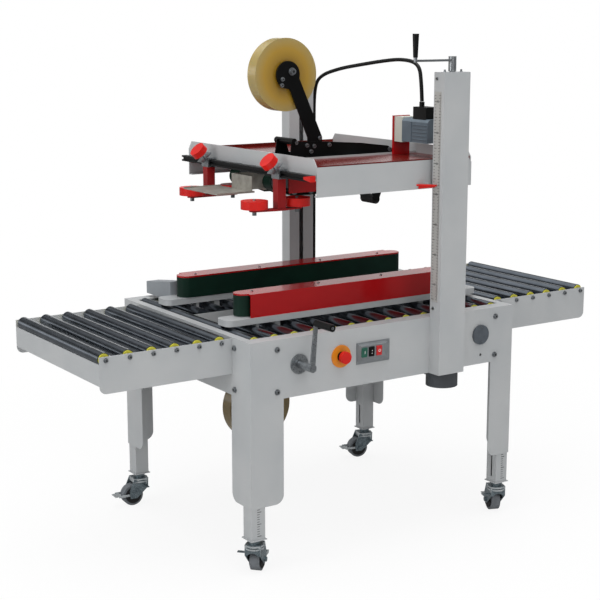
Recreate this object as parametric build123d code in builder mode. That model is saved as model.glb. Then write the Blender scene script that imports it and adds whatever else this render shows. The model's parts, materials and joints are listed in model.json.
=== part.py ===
from build123d import *
import os

os.makedirs("parts", exist_ok=True)

# x runs along the conveyor (infeed at -x), y across it (operator at -y), z up, in mm
half_length = 538.0
half_width = 426.0
panel_front = -half_width
sheet = 3.0
panel_top = 762.0
panel_low = 570.0
roller_radius = 21.0
roller_axis = 747.0
wing_length = 456.0
wing_reach = half_length + wing_length
wing_end_gap = 21.5
wing_inset = 112.0
wing_half_width = half_width - wing_inset
wing_pitch = 79.4
bed_pitch = 75.0
bed_mid = 0.0
bed_end_gap = 50.0
bed_half_count = int((half_length - bed_end_gap) / bed_pitch + 0.5)
flange_width = 50.0
flange_reach = half_width - flange_width
rail_y = 76.0
infeed_flange = 122.0
outfeed_flange = 96.0
far_flange = 102.0
side_flange = 115.0
leg_low = 225.0
tube_side = 50.0
caster_top = 117.0
caster_trail = 32.0
wheel_radius = 38.0
fork_y = 25.0
column_x0 = 167.0
column_x1 = 275.0
column_depth = 52.0
column_top = 1570.0
slot_width = 19.0
screw_x = 221.0
screw_y = half_width + 24.0
cover_end = screw_y - 26.0
belt_y = 189.0
belt_radius = 32.0
belt_front = -418.0
belt_back = 470.0
belt_low = 797.0
belt_high = 866.0
hanger_x = -377.5
base_front = -508.0
base_back = 532.0
base_y = 202.5
base_width = 79.0
base_low = 774.0
base_top = 794.0
rod_infeed = -300.0
rod_outfeed = 300.0
rod_z = 655.0
crank_x = -358.5
crank_z = 674.5
stop_x = -197.0
stop_z = 677.0
head_low = 1191.0
head_high = 1285.0
head_half_width = half_width - 20.0
lid_reach = head_half_width - 6.0
head_front = -278.0
head_back = 350.0
top_belt_y = 106.0
top_belt_width = 50.0
bar_x = -300.0
bar_z = 1252.0
bar_side = 20.0
press_y = 225.0
press_roller_y = 214.0
press_front = -388.0
press_back = -225.0
far_press_shift = 14.0
roll_radius = 121.5
roll_width = 50.0
top_roll_x = -142.0
top_roll_z = 1555.0
low_roll_x = -252.0
low_roll_z = 426.0
motor_x = 275.0
slide_gap = 1.0
y_mid = 56.0


def block(x0, x1, y0, y1, z0, z1, mode=Mode.ADD):
    with Locations(((x0 + x1) / 2, (y0 + y1) / 2, (z0 + z1) / 2)):
        Box(x1 - x0, y1 - y0, z1 - z0, mode=mode)


def rod(axis, u, v, a, b, radius, mode=Mode.ADD):
    mid = (a + b) / 2
    if axis == "x":
        place = Location((mid, u, v), (0, 90, 0))
    elif axis == "y":
        place = Location((u, mid, v), (90, 0, 0))
    else:
        place = Location((u, v, mid))
    with Locations(place):
        Cylinder(radius, b - a, mode=mode)


def plate_y(points, y0, y1, rounding=0.0, corners=(), mode=Mode.ADD):
    with BuildSketch(Plane.XZ.offset(-y1)) as outline:
        with BuildLine():
            Polyline(*points, close=True)
        make_face()
        if rounding:
            picked = [
                v for v in outline.vertices()
                if any(abs(v.X - c[0]) < 0.5 and abs(v.Y - c[1]) < 0.5 for c in corners)
            ]
            fillet(picked, rounding)
    extrude(outline.sketch, amount=y1 - y0, mode=mode)


def plate_x(points, x0, x1, mode=Mode.ADD):
    with BuildSketch(Plane.YZ.offset(x0)) as outline:
        with BuildLine():
            Polyline(*points, close=True)
        make_face()
    extrude(outline.sketch, amount=x1 - x0, mode=mode)


def plate_z(points, z0, z1, mode=Mode.ADD):
    with BuildSketch(Plane.XY.offset(z0)) as outline:
        with BuildLine():
            Polyline(*points, close=True)
        make_face()
    extrude(outline.sketch, amount=z1 - z0, mode=mode)


def side_panel(side):
    outer = side * half_width
    inner = side * (half_width - sheet)
    lip = side * (half_width - 26)
    y0, y1 = sorted((outer, inner))
    f0, f1 = sorted((outer, lip))
    r0, r1 = sorted((outer, side * flange_reach))
    start = (infeed_flange if side < 0 else far_flange) - half_length
    stop = half_length - (outfeed_flange if side < 0 else far_flange)
    block(start, stop, y0, y1, panel_low, panel_top)
    block(start, stop, f0, f1, panel_low, panel_low + sheet)
    block(-half_length, half_length, r0, r1, panel_top - sheet, panel_top)


with BuildPart() as front_panel:
    side_panel(-1)
    rod("y", 395, 601.5, -half_width - 1, -half_width + 5, 5, mode=Mode.SUBTRACT)
    rod("y", crank_x, crank_z, -half_width - 1, -half_width + 5, 11, mode=Mode.SUBTRACT)

with BuildPart() as rear_panel:
    side_panel(1)

with BuildPart() as cross_plates:
    for side in (-1, 1):
        x0, x1 = sorted((side * half_length, side * (half_length - sheet)))
        f0, f1 = sorted((side * half_length, side * (half_length - 28)))
        reach = half_width - side_flange
        block(x0, x1, -reach, reach, 575, panel_top)
        block(f0, f1, -flange_reach, flange_reach, panel_top - sheet, panel_top)
        block(f0, f1, -reach, reach, 575, 575 + sheet)
        x0, x1 = sorted((side * wing_reach, side * (wing_reach - sheet)))
        f0, f1 = sorted((side * wing_reach, side * (wing_reach - 18)))
        block(x0, x1, -wing_half_width, wing_half_width, 668, 735)
        block(f0, f1, -wing_half_width, wing_half_width, 668, 668 + sheet)

with BuildPart() as leg_angles:
    for sx, flange in ((-1, infeed_flange), (1, outfeed_flange)):
        for sy in (-1, 1):
            xo = sx * half_length
            xi = sx * (half_length - (flange if sy < 0 else far_flange))
            yo = sy * half_width
            yi = sy * (half_width - side_flange)
            top = panel_top - sheet
            y0, y1 = sorted((yo, yo - sy * sheet))
            plate_y([(xo, leg_low), (xi, leg_low), (xi, top), (xo, top)], y0, y1, 30, [(xi, leg_low)])
            x0, x1 = sorted((xo, xo - sx * sheet))
            with BuildSketch(Plane.YZ.offset(x0)) as side_face:
                with BuildLine():
                    Polyline((yo, leg_low), (yi, leg_low), (yi, top), (yo, top), close=True)
                make_face()
                fillet([v for v in side_face.vertices() if abs(v.X - yi) < 0.5 and v.Y < leg_low + 1], 30)
            extrude(side_face.sketch, amount=x1 - x0)

with BuildPart() as leg_tubes:
    for sx in (-1, 1):
        for sy in (-1, 1):
            cx = sx * (half_length - sheet - tube_side / 2)
            cy = sy * (half_width - sheet - tube_side / 2)
            with Locations((cx, cy, (560 + caster_top + 3) / 2)):
                Box(tube_side, tube_side, 560 - caster_top - 3)
            block(cx - 22, cx + 22, cy - 22, cy + 22, caster_top + 3, 560, mode=Mode.SUBTRACT)
            s0, s1 = sorted((cx - sx * 20, cx - sx * 27))
            block(s0, s1, cy - 4, cy + 4, 138, 215, mode=Mode.SUBTRACT)
            block(cx - 29.5, cx + 29.5, cy - 29.5, cy + 29.5, caster_top, caster_top + 3)

with BuildPart() as wing_plates:
    for sx in (-1, 1):
        for sy in (-1, 1):
            y0, y1 = sorted((sy * wing_half_width, sy * (wing_half_width + sheet)))
            xo = sx * wing_reach
            xi = sx * half_length
            plate_y([(xo, 644), (xi, 644), (xi, 758), (xo, 758)], y0, y1, 22, [(xo, 644)])

wing_axes = [sx * (wing_reach - wing_end_gap - wing_pitch * i) for sx in (-1, 1) for i in range(6)]
bed_axes = [bed_mid + bed_pitch * (i + 0.5 - bed_half_count) for i in range(2 * bed_half_count)]
bed_reach = flange_reach - 10

with BuildPart() as wing_rollers:
    for x in wing_axes:
        rod("y", x, roller_axis, -wing_half_width + 12, wing_half_width - 12, roller_radius)
        rod("y", x, roller_axis, -wing_half_width, wing_half_width, 5)

with BuildPart() as bed_rollers:
    for x in (bed_axes[0], bed_axes[-1]):
        rod("y", x, roller_axis, -bed_reach, bed_reach, roller_radius)
        rod("y", x, roller_axis, -half_width + sheet, half_width - sheet, 5)
    for x in bed_axes[1:-1]:
        for side in (-1, 1):
            a, b = sorted((side * (rail_y + sheet + 10), side * bed_reach))
            rod("y", x, roller_axis, a, b, roller_radius)
            a, b = sorted((side * (rail_y + sheet), side * (half_width - sheet)))
            rod("y", x, roller_axis, a, b, 5)

with BuildPart() as bed_rails:
    for side in (-1, 1):
        y0, y1 = sorted((side * rail_y, side * (rail_y + sheet)))
        block(-half_length + sheet, half_length - sheet, y0, y1, 690, 720)
        block(bed_axes[0] + 27, bed_axes[-1] - 27, y0, y1, 720, 754)


def column(side):
    outer = side * (half_width + column_depth)
    inner = side * half_width
    y0, y1 = sorted((outer, inner))
    block(column_x0, column_x1, y0, y1, panel_low, column_top)
    c0, c1 = sorted((outer - side * sheet, inner + side * sheet))
    block(column_x0 + sheet, column_x1 - sheet, c0, c1, panel_low - 1, column_top - sheet, mode=Mode.SUBTRACT)
    s0, s1 = sorted((inner - side, inner + side * (sheet + 1)))
    block(screw_x - slot_width / 2, screw_x + slot_width / 2, s0, s1, panel_top + 20, column_top - 30, mode=Mode.SUBTRACT)
    rod("z", screw_x, side * screw_y, column_top - 10, column_top + 1, 10, mode=Mode.SUBTRACT)


with BuildPart() as near_column:
    column(-1)

with BuildPart() as far_column:
    column(1)

with BuildPart() as chain_cover:
    cover_x = screw_x + 4
    block(cover_x - 52, cover_x + 52, -cover_end, cover_end, panel_low - 12, panel_low)
    for side in (-1, 1):
        rod("z", cover_x, side * cover_end, 521, panel_low, 54)

with BuildPart() as near_screw:
    rod("z", screw_x, -screw_y, 572, column_top + 12, 9)

with BuildPart() as far_screw:
    rod("z", screw_x, screw_y, 572, column_top + 6, 9)

with BuildPart() as ruler:
    block(column_x0 - 1, column_x0, -half_width - 38.5, -half_width - 5, 818, 1508)

with BuildPart() as belt_rods:
    for x in (rod_infeed, rod_outfeed):
        rod("y", x, rod_z, -half_width + sheet, half_width - sheet, 10)


def belt_base(side):
    mid = (base_front + base_back) / 2
    for inset, top, mode in ((0, base_top, Mode.ADD), (sheet, base_top - 4, Mode.SUBTRACT)):
        with BuildSketch(Plane.XY.offset(base_low)) as tray:
            with Locations((mid, side * base_y)):
                RectangleRounded(base_back - base_front - 2 * inset, base_width - 2 * inset, 24 - inset)
        extrude(tray.sketch, amount=top - base_low, mode=mode)
    for x in (rod_infeed, rod_outfeed):
        u0, u1 = sorted((side * 182, side * 211))
        block(x - 11, x + 11, u0, u1, 640, base_top - 1)
        u0, u1 = sorted((side * 182, side * 222))
        block(x - 17, x + 17, u0, u1, 638, 674)
        rod("y", x, rod_z, u0 - 1, u1 + 1, 10 + slide_gap, mode=Mode.SUBTRACT)
    u0, u1 = sorted((side * 182, side * 211))
    block(hanger_x - 5.5, hanger_x + 5.5, u0, u1, 650, base_top - 1)
    for x in (belt_front, belt_back):
        rod("z", x, side * belt_y, base_top, belt_high, belt_radius - 3)


with BuildPart() as near_belt_base:
    belt_base(-1)

with BuildPart() as far_belt_base:
    belt_base(1)

with BuildPart() as far_end_box:
    edge = base_y + base_width / 2
    outer = half_width - 7
    plate_x([(edge, base_low), (outer, base_low), (outer, 817), (edge + 4, 841), (edge, 841)], -452, -402)


def side_belt(side):
    mid = (belt_front + belt_back) / 2
    length = belt_back - belt_front + 2 * belt_radius
    with BuildSketch(Plane.XY.offset(belt_low)) as loop:
        with Locations((mid, side * belt_y)):
            SlotOverall(length, 2 * belt_radius)
            SlotOverall(length - 6, 2 * belt_radius - 6, mode=Mode.SUBTRACT)
    extrude(loop.sketch, amount=belt_high - belt_low - 1)


with BuildPart() as near_belt:
    side_belt(-1)

with BuildPart() as far_belt:
    side_belt(1)


def belt_cover(side):
    mid = (belt_front + belt_back) / 2
    length = belt_back - belt_front + 2 * belt_radius
    with BuildSketch(Plane.XY.offset(belt_high)) as lid:
        with Locations((mid, side * belt_y)):
            SlotOverall(length, 2 * belt_radius)
        with Locations((mid, side * 225)):
            Rectangle(belt_back - belt_front, 24)
    extrude(lid.sketch, amount=5)
    w0, w1 = sorted((side * 234, side * 237))
    block(belt_front, belt_back, w0, w1, base_top, belt_high + 5)


with BuildPart() as near_belt_cover:
    belt_cover(-1)

with BuildPart() as far_belt_cover:
    belt_cover(1)

with BuildPart() as head_side_plates:
    for side in (-1, 1):
        y0, y1 = sorted((side * head_half_width, side * (head_half_width - sheet)))
        plate_y(
            [
                (head_front, head_low), (head_back, head_low), (head_back, head_high - 16),
                (head_back - 14, head_high), (head_front, head_high),
            ],
            y0, y1,
        )
        f0, f1 = sorted((side * head_half_width, side * (head_half_width - 18)))
        block(head_front + 3, head_back - 20, f0, f1, head_low, head_low + sheet)

with BuildPart() as head_end_plates:
    wide, narrow = head_half_width - sheet, head_half_width - 21
    for x in (head_front, head_back - sheet):
        plate_x(
            [(-wide, 1243), (wide, 1243), (wide, 1287), (narrow, 1311), (-narrow, 1311), (-wide, 1287)],
            x, x + sheet,
        )

with BuildPart() as head_bars:
    for x in (-160, 120):
        block(x, x + 30, -head_half_width + sheet, head_half_width - sheet, 1260, 1274)

with BuildPart() as carriages:
    for side in (-1, 1):
        y0, y1 = sorted((side * (half_width + 8), side * (half_width + column_depth - 8)))
        block(screw_x - 36, screw_x + 36, y0, y1, 1196, 1280)
        n0, n1 = sorted((side * head_half_width, side * (half_width + 8)))
        block(screw_x - 4, screw_x + 4, n0, n1, 1196, 1280)
        rod("z", screw_x, side * screw_y, 1190, 1290, 9 + slide_gap, mode=Mode.SUBTRACT)


def top_belt_hull(sketch_offset):
    with Locations((-245, 1211)):
        Circle(29 - sketch_offset)
    with Locations((-180, 1177)):
        Circle(15 - sketch_offset)
    with Locations((225, 1177)):
        Circle(15 - sketch_offset)
    with Locations((268, 1218)):
        Circle(36 - sketch_offset)
    make_hull()


with BuildPart() as head_belts:
    for side in (-1, 1):
        y0 = side * top_belt_y + top_belt_width / 2
        with BuildSketch(Plane.XZ.offset(-y0)) as outer_loop:
            top_belt_hull(0)
        with BuildSketch(Plane.XZ.offset(-y0)) as inner_loop:
            top_belt_hull(3)
        extrude(outer_loop.sketch, amount=top_belt_width)
        extrude(inner_loop.sketch, amount=top_belt_width, mode=Mode.SUBTRACT)

with BuildPart() as head_belt_frames:
    for side in (-1, 1):
        for inner in (78, 132):
            y0, y1 = sorted((side * inner, side * (inner + 2)))
            plate_y(
                [
                    (-250, 1204), (-225, 1240), (-180, 1260), (290, 1260), (290, 1200),
                    (240, 1180), (-180, 1180),
                ],
                y0, y1,
            )
        y0, y1 = sorted((side * 80, side * 132))
        for x, z, r in ((-245, 1211, 26), (268, 1218, 33)):
            rod("y", x, z, y0, y1, r)
        for i in range(7):
            rod("y", -180 + i * 405 / 6, 1177, y0, y1, 12)

with BuildPart() as head_belt_covers:
    for side in (-1, 1):
        y0, y1 = sorted((side * 135, side * 138))
        block(-205, 302, y0, y1, 1172, 1277)
        y0, y1 = sorted((side * 109, side * lid_reach))
        block(-274, 346, y0, y1, 1274, 1277)
        y0, y1 = sorted((side * (lid_reach - sheet), side * lid_reach))
        block(-274, 346, y0, y1, 1274, 1289)
        y0, y1 = sorted((side * 109, side * 112))
        block(-274, 346, y0, y1, 1274, 1284)
    for x in (-160, 120):
        block(x - 0.5, x + 30.5, -139, 139, 1259, 1274, mode=Mode.SUBTRACT)

with BuildPart() as cartridge:
    plate_y(
        [
            (-230, 1176), (-190, 1160), (200, 1152), (222, 1108), (238, 1108), (256, 1152), (298, 1180),
            (298, 1288), (275, 1300), (160, 1315), (-8, 1328), (-132, 1334), (-135, 1290), (-230, 1234),
        ],
        -41, -38,
    )
    plate_y(
        [
            (-230, 1176), (-190, 1160), (200, 1152), (222, 1108), (238, 1108), (256, 1152), (298, 1180),
            (298, 1276), (-90, 1290), (-105, 1338), (-138, 1338), (-150, 1270), (-230, 1234),
        ],
        38, 41,
    )
    for x in (-160, 120):
        block(x - 0.5, x + 30.5, -45, 45, 1100, 1274, mode=Mode.SUBTRACT)
    rod("y", -122, 1332, -44, 66, 11)
    for x, z in ((-210, 1200), (60, 1268), (-90, 1268), (280, 1262), (170, 1180)):
        rod("y", x, z, -38, 38, 6)

with BuildPart() as ski:
    block(-463, -321, -108, 112, 1180, 1182.5)
    block(-463, -321, -108, -106, 1180, 1186)
    block(-463, -321, 110, 112, 1180, 1186)
    block(-324, -321, -95, 32, 1180, 1232)
    block(-324, -232, -30, -27, 1180, 1232)
    block(-324, -232, 27, 30, 1180, 1232)
    block(-236, -230, -38, 38, 1176, 1234)

with BuildPart() as tape_arm:
    with BuildSketch(Plane.XZ.offset(32)) as arm_outline:
        with Locations((top_roll_x, top_roll_z)):
            Circle(46)
        with BuildLine():
            Polyline((-158, 1560), (-104, 1557), (-4, 1343), (-4, 1296), (-62, 1296), (-62, 1343), close=True)
        make_face()
    extrude(arm_outline.sketch, amount=6)
    rod("y", top_roll_x, top_roll_z, -33, 30, 8)


def tape_roll(x, z):
    rod("y", x, z, -roll_width / 2, roll_width / 2, roll_radius)
    rod("y", x, z, -roll_width / 2 - 1, roll_width / 2 + 1, 8 + slide_gap, mode=Mode.SUBTRACT)


with BuildPart() as upper_roll:
    tape_roll(top_roll_x, top_roll_z)

with BuildPart() as rear_roller:
    rod("y", 230, 1112, -36, 36, 16.5)

with BuildPart() as head_motor:
    block(motor_x - 35, motor_x + 35, -121, -112, 1277, 1411)
    block(motor_x - 32, motor_x + 32, -165, -121, 1322, 1408)
    plate_y(
        [
            (motor_x - 34, 1326), (motor_x + 34, 1326), (motor_x + 34, 1396), (motor_x + 24, 1406),
            (motor_x - 24, 1406), (motor_x - 34, 1396),
        ],
        -304, -165,
    )
    block(motor_x - 26, motor_x + 26, -284, -215, 1404, 1446)
    rod("z", motor_x, -230, 1446, 1462, 9)

with BuildPart() as guide_bar:
    half = bar_side / 2
    block(bar_x - half, bar_x + half, -head_half_width - 10, lid_reach, bar_z - half, bar_z + half)
    block(bar_x - half - 1, bar_x - 4, -head_half_width + 28, lid_reach + 1, bar_z - 4, bar_z + 4, mode=Mode.SUBTRACT)
    for y in (54, -36):
        block(bar_x + half, head_front, y - 12, y + 12, bar_z - half, bar_z + half)

with BuildPart() as pointer:
    root, tip = -head_half_width, -half_width - 26
    plate_z([(116, root), (140, root), (160, tip + 8), (165, tip), (157, tip)], 1203, 1208)


def roller_places(side):
    shift = far_press_shift * (side + 1) / 2
    return press_front + shift, press_back + shift


def press_unit(side):
    y = side * press_y
    block(bar_x - 15, bar_x + 15, y - 15, y + 15, 1134, 1238)
    block(bar_x - 16, bar_x + 16, y - 22, y + 22, 1236, 1268)
    hole = bar_side / 2 + slide_gap
    block(bar_x - hole, bar_x + hole, y - 30, y + 30, bar_z - hole, bar_z + hole, mode=Mode.SUBTRACT)
    with BuildSketch(Plane.XY.offset(1134)) as base:
        for x in roller_places(side):
            with Locations((x, side * press_roller_y)):
                Circle(17)
        with Locations((bar_x, y)):
            Rectangle(36, 36)
        make_hull()
    extrude(base.sketch, amount=5)
    for x in roller_places(side):
        rod("z", x, side * press_roller_y, 1122, 1174, 5)
        rod("z", x, side * press_roller_y, 1122, 1134, 7)
        rod("z", x, side * press_roller_y, 1139, 1141, 9)
    tilt = Location((bar_x, y, bar_z), (0, -45, 0))
    with Locations(tilt * Location((0, 0, 24))):
        Box(46, 40, 3)
    with Locations(tilt * Location((0, 0, 34))):
        Cylinder(4, 22)
    with Locations(tilt * Location((0, 0, 56))):
        Cylinder(28, 22)


with BuildPart() as near_press:
    press_unit(-1)

with BuildPart() as far_press:
    press_unit(1)


def press_roller(x, side):
    rod("z", x, side * press_roller_y, 1143, 1170, 44)
    rod("z", x, side * press_roller_y, 1142, 1171, 5 + slide_gap, mode=Mode.SUBTRACT)


with BuildPart() as near_press_front:
    press_roller(roller_places(-1)[0], -1)

with BuildPart() as near_press_back:
    press_roller(roller_places(-1)[1], -1)

with BuildPart() as far_press_front:
    press_roller(roller_places(1)[0], 1)

with BuildPart() as far_press_back:
    press_roller(roller_places(1)[1], 1)

with BuildPart() as top_crank:
    rod("z", screw_x, -screw_y, column_top + 2, column_top + 50, 13)
    rod("z", screw_x, -screw_y, column_top, column_top + 12, 9, mode=Mode.SUBTRACT)
    block(69, screw_x, -screw_y - 8, -screw_y + 8, 1604, 1611)
    rod("z", 69, -screw_y, 1603, 1618, 6)
    with Locations((69, -screw_y, 1655)):
        Cone(7.5, 10.5, 74)

with BuildPart() as front_crank:
    rod("y", crank_x, crank_z, panel_front - 80, panel_front - 8, 13)
    plate_y(
        [
            (crank_x - 9, crank_z), (crank_x + 9, crank_z), (crank_x + 20, crank_z + 144),
            (crank_x + 8, crank_z + 144),
        ],
        panel_front - 78, panel_front - 71,
    )
    rod("y", crank_x + 14, crank_z + 142, panel_front - 164, panel_front - 74, 11)
    rod("y", crank_x, crank_z, panel_front - 8, half_width - 8, 8)

with BuildPart() as lower_cartridge:
    for side in (-1, 1):
        y0, y1 = sorted((side * 38, side * 41))
        plate_y([(-272, 590), (240, 590), (262, 700), (248, 776), (212, 776), (200, 764), (-272, 764)], y0, y1)
    rod("y", 230, 768, -36, 36, 16.5)
    rod("y", 230, 768, -41, 41, 5)
    for x, z in ((-250, 640), (200, 620), (-60, 680)):
        rod("y", x, z, -rail_y, rail_y, 7)
        rod("y", x, z + 60, -rail_y, rail_y, 7)
    plate_y([(-285, 620), (-215, 620), (-225, 400), (-279, 400)], -38, -32)
    rod("y", low_roll_x, low_roll_z, -38, -32, 40)
    rod("y", low_roll_x, low_roll_z, -33, 30, 8)

with BuildPart() as lower_roll:
    tape_roll(low_roll_x, low_roll_z)

with BuildPart() as switch_box:
    block(-136, -3, -half_width - 3, -half_width, 640, 711)
    with BuildSketch(Plane.XZ.offset(half_width + 3)) as box_foot:
        with Locations((-69.5, 675.5)):
            Rectangle(127, 65)
    with BuildSketch(Plane.XZ.offset(half_width + 18)) as box_face:
        with Locations((-80, 681)):
            Rectangle(92, 42)
    loft([box_foot.sketch, box_face.sketch])

with BuildPart() as panel_fittings:
    rod("y", crank_x, crank_z, panel_front - 6, panel_front, 32)
    rod("y", crank_x, crank_z, panel_front - 7, panel_front + 1, 9, mode=Mode.SUBTRACT)
    rod("y", stop_x, stop_z, panel_front - 4, panel_front, 37)
    rod("y", stop_x, stop_z, panel_front - 10, panel_front, 16)
    rod("y", stop_x, stop_z, panel_front - 11, panel_front + 1, 11, mode=Mode.SUBTRACT)
    rod("y", 390, 674, panel_front - 8, panel_front, 34)

with BuildPart() as stop_button:
    rod("y", stop_x, stop_z, panel_front - 32, panel_front - 18, 20)
    rod("y", stop_x, stop_z, panel_front - 18, panel_front - 6, 10)


def caster_place(sx, sy):
    cx = sx * (half_length - sheet - tube_side / 2)
    cy = sy * (half_width - sheet - tube_side / 2)
    heading = {(-1, -1): 42, (1, -1): 69, (-1, 1): 175, (1, 1): 165}[(sx, sy)]
    return Location((cx, cy, 0), (0, 0, heading))


def caster_fork(sx, sy):
    place = caster_place(sx, sy)
    for low, high, radius in ((111, caster_top, 21), (101, 111, 18), (94, 99, 29), (85, 90, 30)):
        with Locations(place * Location((0, 0, (low + high) / 2))):
            Cylinder(radius, high - low)
    with Locations(place * Location((4, 0, 93))):
        Box(52, 2 * fork_y, 16)
    for y in (-fork_y, fork_y):
        with BuildSketch(Plane.XZ) as cheek:
            with BuildLine():
                Polyline(
                    (-24, 101), (30, 101), (36, 86), (caster_trail + 16, 58), (caster_trail + 14, 28),
                    (caster_trail - 12, 28), (-23, 66), close=True,
                )
            make_face()
        blade = extrude(cheek.sketch, amount=1.5, both=True, mode=Mode.PRIVATE)
        with Locations(place * Location((0, y, 0))):
            add(blade)
    with BuildSketch(Plane.YZ) as web:
        with Locations((0, 78)):
            Rectangle(2 * fork_y, 24)
        with Locations((0, 54)):
            Circle(21, mode=Mode.SUBTRACT)
    front = extrude(web.sketch, amount=1.5, both=True, mode=Mode.PRIVATE)
    with Locations(place * Location((-22.5, 0, 0))):
        add(front)
    with Locations(place * Location((-11, fork_y + 14, 73))):
        Box(12, 28, 3)
    with Locations(place * Location((caster_trail, 0, wheel_radius), (90, 0, 0))):
        Cylinder(5, 2 * fork_y + 14)
    for y in (-fork_y - 4, fork_y + 4):
        with Locations(place * Location((caster_trail, y, wheel_radius), (90, 0, 0))):
            Cylinder(8, 5)


def caster_wheel(sx, sy):
    place = caster_place(sx, sy)
    with Locations(place * Location((caster_trail, 0, wheel_radius), (90, 0, 0))):
        Cylinder(wheel_radius, 32)
        Cylinder(wheel_radius - 9, 40)
        Cylinder(5.6, 44, mode=Mode.SUBTRACT)


with BuildPart() as fork_near_infeed:
    caster_fork(-1, -1)

with BuildPart() as fork_near_outfeed:
    caster_fork(1, -1)

with BuildPart() as fork_far_infeed:
    caster_fork(-1, 1)

with BuildPart() as fork_far_outfeed:
    caster_fork(1, 1)

with BuildPart() as wheel_near_infeed:
    caster_wheel(-1, -1)

with BuildPart() as wheel_near_outfeed:
    caster_wheel(1, -1)

with BuildPart() as wheel_far_infeed:
    caster_wheel(-1, 1)

with BuildPart() as wheel_far_outfeed:
    caster_wheel(1, 1)

with BuildPart() as conduit:
    with BuildLine() as conduit_route:
        FilletPolyline(
            (motor_x, -230, 1463), (motor_x, -216, 1596), (motor_x, -10, 1596), (280.5, 265, 1560),
            (280.5, 440, 1500), (280.5, 440, 612),
            radius=62,
        )
    with BuildSketch(Plane(conduit_route.line @ 0, z_dir=conduit_route.line % 0)) as conduit_round:
        Circle(5.4)
    sweep(path=conduit_route.line)
    block(275.5, 297, half_width, half_width + 24, 592, 620)

pieces = dict(
    front_panel=front_panel, rear_panel=rear_panel, cross_plates=cross_plates, leg_angles=leg_angles,
    leg_tubes=leg_tubes, wing_plates=wing_plates, wing_rollers=wing_rollers, bed_rollers=bed_rollers,
    bed_rails=bed_rails, near_column=near_column, far_column=far_column, chain_cover=chain_cover,
    near_screw=near_screw, far_screw=far_screw, ruler=ruler, belt_rods=belt_rods,
    near_belt_base=near_belt_base, far_belt_base=far_belt_base, far_end_box=far_end_box,
    near_belt=near_belt, far_belt=far_belt,
    near_belt_cover=near_belt_cover, far_belt_cover=far_belt_cover, head_side_plates=head_side_plates,
    head_end_plates=head_end_plates, head_bars=head_bars, carriages=carriages, head_belts=head_belts,
    head_belt_frames=head_belt_frames, head_belt_covers=head_belt_covers, cartridge=cartridge,
    ski=ski, tape_arm=tape_arm, upper_roll=upper_roll, rear_roller=rear_roller, head_motor=head_motor,
    guide_bar=guide_bar, pointer=pointer, near_press=near_press, far_press=far_press,
    near_press_front=near_press_front, near_press_back=near_press_back,
    far_press_front=far_press_front, far_press_back=far_press_back, top_crank=top_crank,
    front_crank=front_crank, lower_cartridge=lower_cartridge,
    lower_roll=lower_roll, switch_box=switch_box, panel_fittings=panel_fittings,
    stop_button=stop_button, fork_near_infeed=fork_near_infeed, fork_near_outfeed=fork_near_outfeed,
    fork_far_infeed=fork_far_infeed, fork_far_outfeed=fork_far_outfeed,
    wheel_near_infeed=wheel_near_infeed, wheel_near_outfeed=wheel_near_outfeed,
    wheel_far_infeed=wheel_far_infeed, wheel_far_outfeed=wheel_far_outfeed, conduit=conduit,
)
for name, piece in pieces.items():
    placed = Pos(0, y_mid, 0) * piece.part
    placed.label = name
    export_step(placed, f"parts/{name}.step")
print(len(pieces), "pieces")
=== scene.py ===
import bpy
import bmesh
import json
import math
from mathutils import Euler, Matrix, Vector


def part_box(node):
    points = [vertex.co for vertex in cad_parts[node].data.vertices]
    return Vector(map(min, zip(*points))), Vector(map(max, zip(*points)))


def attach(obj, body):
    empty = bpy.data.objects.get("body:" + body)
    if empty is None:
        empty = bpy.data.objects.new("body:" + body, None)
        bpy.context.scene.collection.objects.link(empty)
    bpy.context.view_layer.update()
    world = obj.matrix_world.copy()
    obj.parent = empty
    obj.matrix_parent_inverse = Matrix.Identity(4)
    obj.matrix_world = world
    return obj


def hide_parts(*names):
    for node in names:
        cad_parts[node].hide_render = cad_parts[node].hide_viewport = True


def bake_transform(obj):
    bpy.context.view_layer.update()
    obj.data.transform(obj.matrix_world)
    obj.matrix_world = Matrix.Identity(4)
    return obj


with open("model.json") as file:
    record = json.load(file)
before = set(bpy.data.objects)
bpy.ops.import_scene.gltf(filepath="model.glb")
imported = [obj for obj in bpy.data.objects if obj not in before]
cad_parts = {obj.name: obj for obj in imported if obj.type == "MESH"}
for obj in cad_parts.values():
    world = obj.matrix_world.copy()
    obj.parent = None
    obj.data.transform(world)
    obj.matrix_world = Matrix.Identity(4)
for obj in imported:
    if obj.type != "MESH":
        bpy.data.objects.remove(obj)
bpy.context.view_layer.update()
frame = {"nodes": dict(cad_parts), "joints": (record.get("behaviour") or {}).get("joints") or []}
nodes = frame["nodes"]
yMid = 56.0  # part.py draws the machine about y 0 and shifts it by this at the end


def at(x, y, z):
    # millimetres as part.py uses them, to metres in the shared frame
    return Vector((x, y + yMid, z)) / 1000


def linear(colour):
    # "#rrggbb" to the linear RGBA that shaders take
    parts = [int(colour[i:i + 2], 16) / 255 for i in (1, 3, 5)]
    return [c / 12.92 if c <= 0.04045 else ((c + 0.055) / 1.055) ** 2.4 for c in parts] + [1.0]


def addNode(tree, kind, inputs=None, **settings):
    # one node with its settings, values and incoming links
    node = tree.nodes.new(kind)
    for name, value in settings.items():
        setattr(node, name, value)
    for name, value in (inputs or {}).items():
        if isinstance(value, bpy.types.NodeSocket):
            tree.links.new(value, node.inputs[name])
        else:
            node.inputs[name].default_value = value
    return node


camera = dict(
    place=(-2698.6, -3935.5, 1733.9), yaw=56.2588, pitch=11.4555,
    lens=82.86, sensor=36, farClip=100,
)


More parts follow.
